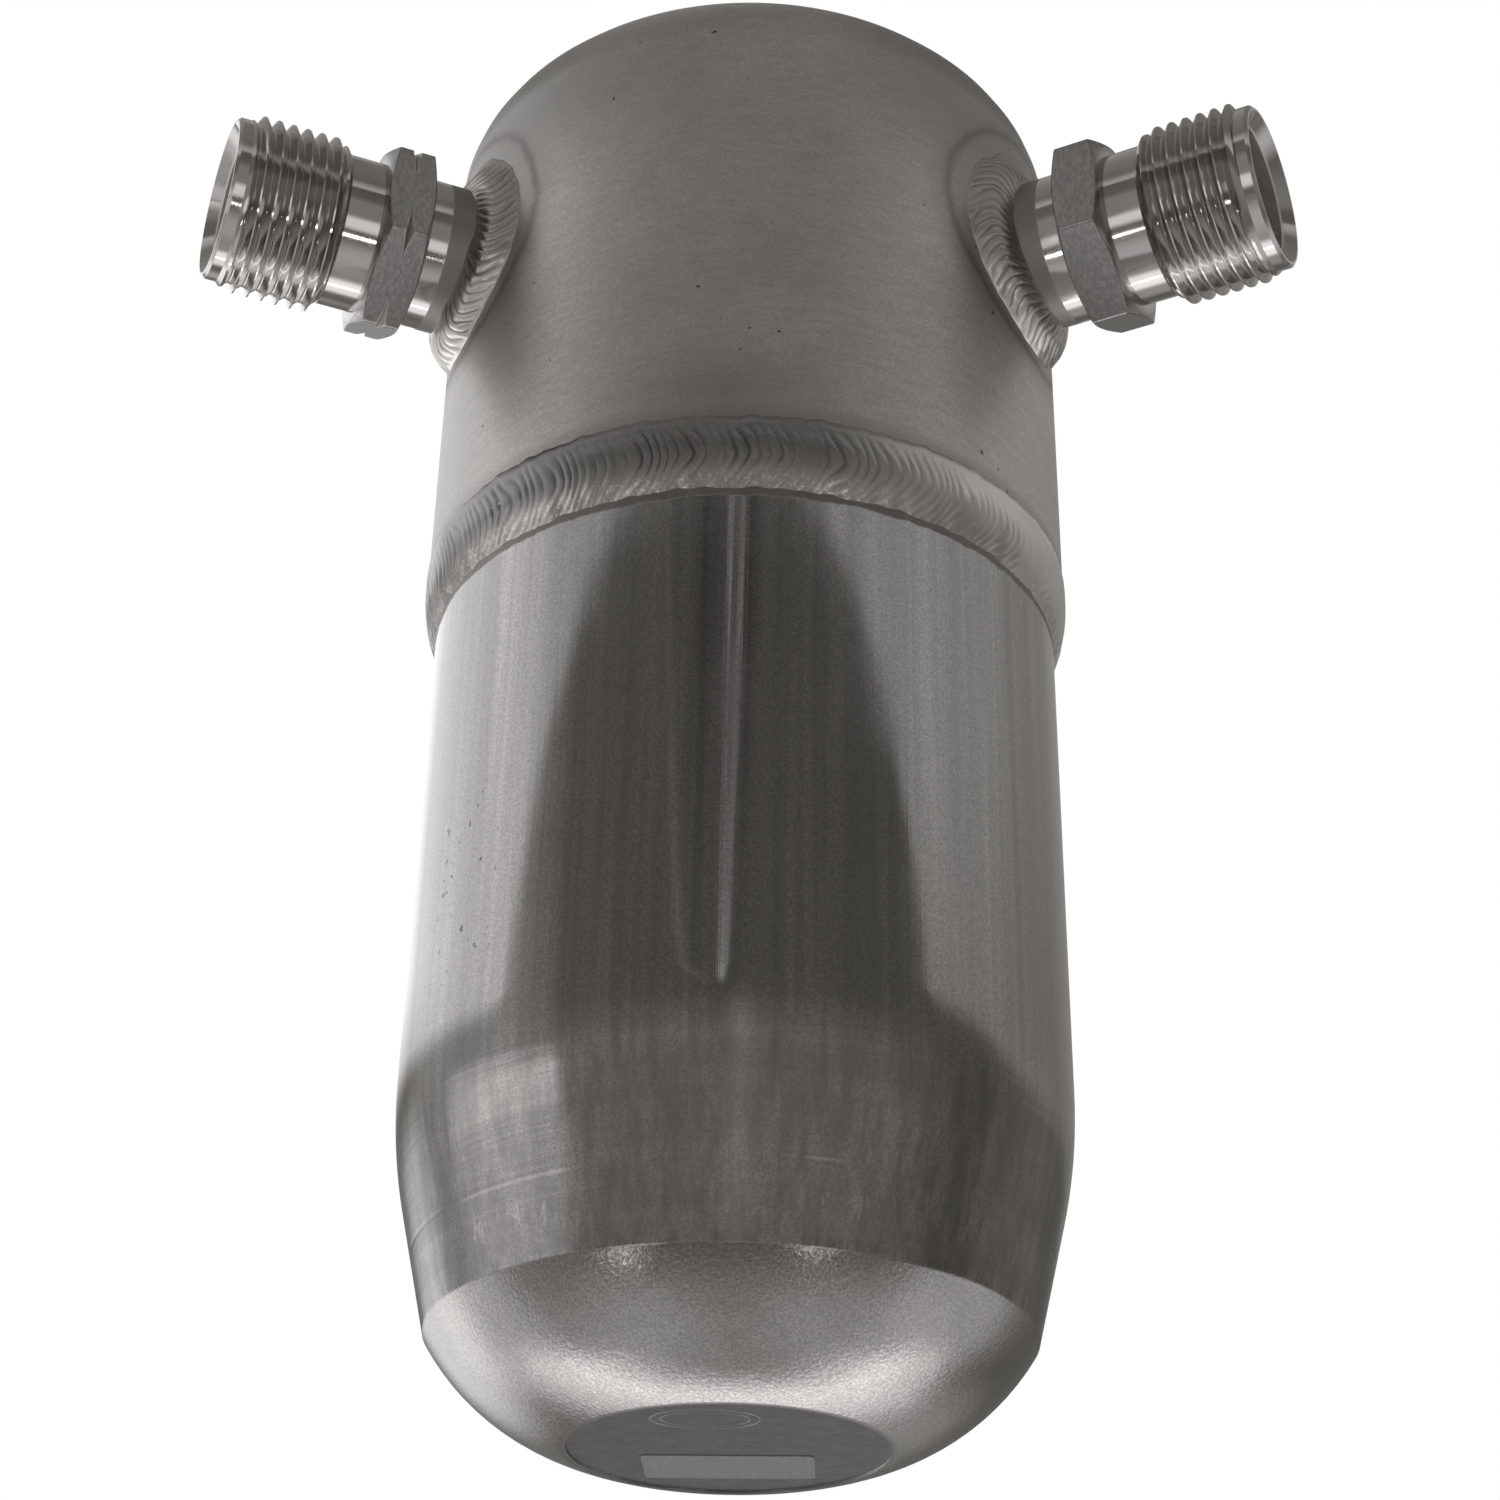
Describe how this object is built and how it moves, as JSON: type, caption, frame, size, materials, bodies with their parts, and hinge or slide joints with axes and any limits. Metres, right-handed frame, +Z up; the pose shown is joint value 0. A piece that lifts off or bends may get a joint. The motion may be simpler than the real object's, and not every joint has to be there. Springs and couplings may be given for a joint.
{
  "type": "filter drier",
  "caption": "Welded aluminium filter drier for vehicle air conditioning: a tapered can with a domed base, an upper cup, rippled beads and threaded side ports.",
  "frame": {"origin": "centre of the base ring, on the surface that the part stands on", "axes": "+Z up along the can's axis; the outlet port is on the +X side and the inlet port on the -X side, both turned 25 degrees towards -Y"},
  "size_m": [0.138, 0.0794, 0.176],
  "materials": {
    "can_aluminium": "drawn and brushed along the axis, semi-bright",
    "head_aluminium": "blasted, matte warm grey",
    "weld_bead": "rippled weld metal, satin",
    "turned_aluminium": "turned, bright",
    "tube_aluminium": "drawn",
    "deflector_sheet": "stamped",
    "bracket_steel": "stamped, plain",
    "filter_plastic": "moulded natural nylon",
    "filter_mesh": "fine woven mesh",
    "pouch_felt": "white felt",
    "tie_plastic": "moulded natural nylon",
    "label_paper": "paper label, matte"
  },
  "bodies": {
    "root": {"lower_can": "can_aluminium", "upper_head": "head_aluminium", "girth_weld": "weld_bead", "inlet_fitting": "turned_aluminium", "outlet_fitting": "turned_aluminium", "inlet_weld": "weld_bead", "outlet_weld": "weld_bead", "pickup_tube": "tube_aluminium", "deflector": "deflector_sheet", "tube_bracket": "bracket_steel", "oil_filter_cage": "filter_plastic", "oil_filter_screen": "filter_mesh", "desiccant_pouch_front": "pouch_felt", "desiccant_pouch_rear": "pouch_felt", "pouch_tie": "tie_plastic"}
  },
  "joints": []
}
